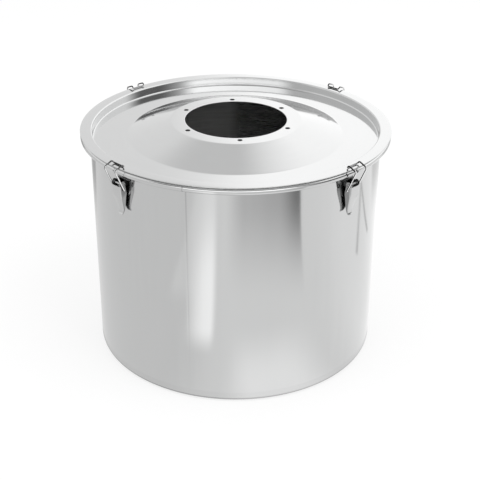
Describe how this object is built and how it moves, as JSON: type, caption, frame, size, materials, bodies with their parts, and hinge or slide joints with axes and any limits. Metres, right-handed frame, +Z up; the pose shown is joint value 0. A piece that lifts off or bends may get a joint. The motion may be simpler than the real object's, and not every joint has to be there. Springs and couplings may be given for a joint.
{
  "type": "brew kettle",
  "caption": "Straight-sided round steel kettle with a rolled rim, a dished lid with a wide round port and bolt circle, and over-centre wire latches.",
  "frame": {"origin": "centre of the kettle's underside", "axes": "+Z up along the kettle's axis, front towards -Y, +X to the right of a person facing the front"},
  "size_m": [0.4255, 0.4256, 0.3291],
  "materials": {
    "kettle_steel": "bright polished stainless sheet, faint vertical grain",
    "lid_steel": "bright satin stainless sheet",
    "silicone": "matt translucent white silicone",
    "latch_steel": "mirror polished pressed steel",
    "bail_wire": "bright drawn spring wire",
    "pin_steel": "turned and riveted"
  },
  "bodies": {
    "kettle": {"kettle_wall": "kettle_steel", "kettle_base": "kettle_steel", "latch_plate_rear_right": "latch_steel", "latch_plate_rear_left": "latch_steel", "latch_plate_front_left": "latch_steel", "latch_plate_front_right": "latch_steel", "latch_pin_rear_right": "pin_steel", "latch_pin_rear_left": "pin_steel", "latch_pin_front_left": "pin_steel", "latch_pin_front_right": "pin_steel"},
    "lid": {"lid": "lid_steel", "lid_seal": "silicone"},
    "lever_rear_right": {"latch_lever_rear_right": "latch_steel"},
    "bail_rear_right": {"latch_bail_rear_right": "bail_wire"},
    "lever_rear_left": {"latch_lever_rear_left": "latch_steel"},
    "bail_rear_left": {"latch_bail_rear_left": "bail_wire"},
    "lever_front_left": {"latch_lever_front_left": "latch_steel"},
    "bail_front_left": {"latch_bail_front_left": "bail_wire"},
    "lever_front_right": {"latch_lever_front_right": "latch_steel"},
    "bail_front_right": {"latch_bail_front_right": "bail_wire"}
  },
  "joints": [
    {"name": "lid_lift", "type": "slide", "parent": "kettle", "child": "lid", "axis": [0, 0, 1], "range_m": [0, 0.2]},
    {"name": "lever_rear_right_hinge", "type": "hinge", "parent": "kettle", "child": "lever_rear_right", "pos_m": [0.14779, 0.14779, 0.299], "axis": [0.7071, -0.7071, 0], "range_deg": [0, 110]},
    {"name": "bail_rear_right_hinge", "type": "hinge", "parent": "lever_rear_right", "child": "bail_rear_right", "pos_m": [0.14708, 0.14708, 0.291], "axis": [0.7071, -0.7071, 0], "range_deg": [-155, 0]},
    {"name": "lever_rear_left_hinge", "type": "hinge", "parent": "kettle", "child": "lever_rear_left", "pos_m": [-0.14779, 0.14779, 0.299], "axis": [0.7071, 0.7071, 0], "range_deg": [0, 110]},
    {"name": "bail_rear_left_hinge", "type": "hinge", "parent": "lever_rear_left", "child": "bail_rear_left", "pos_m": [-0.14708, 0.14708, 0.291], "axis": [0.7071, 0.7071, 0], "range_deg": [-155, 0]},
    {"name": "lever_front_left_hinge", "type": "hinge", "parent": "kettle", "child": "lever_front_left", "pos_m": [-0.14779, -0.14779, 0.299], "axis": [-0.7071, 0.7071, 0], "range_deg": [0, 110]},
    {"name": "bail_front_left_hinge", "type": "hinge", "parent": "lever_front_left", "child": "bail_front_left", "pos_m": [-0.14708, -0.14708, 0.291], "axis": [-0.7071, 0.7071, 0], "range_deg": [-155, 0]},
    {"name": "lever_front_right_hinge", "type": "hinge", "parent": "kettle", "child": "lever_front_right", "pos_m": [0.14779, -0.14779, 0.299], "axis": [-0.7071, -0.7071, 0], "range_deg": [0, 110]},
    {"name": "bail_front_right_hinge", "type": "hinge", "parent": "lever_front_right", "child": "bail_front_right", "pos_m": [0.14708, -0.14708, 0.291], "axis": [-0.7071, -0.7071, 0], "range_deg": [-155, 0]}
  ],
  "couplings": [
    {"joint": "bail_rear_right_hinge", "follows": "lever_rear_right_hinge", "ratio": -1.4},
    {"joint": "bail_rear_left_hinge", "follows": "lever_rear_left_hinge", "ratio": -1.4},
    {"joint": "bail_front_left_hinge", "follows": "lever_front_left_hinge", "ratio": -1.4},
    {"joint": "bail_front_right_hinge", "follows": "lever_front_right_hinge", "ratio": -1.4}
  ]
}
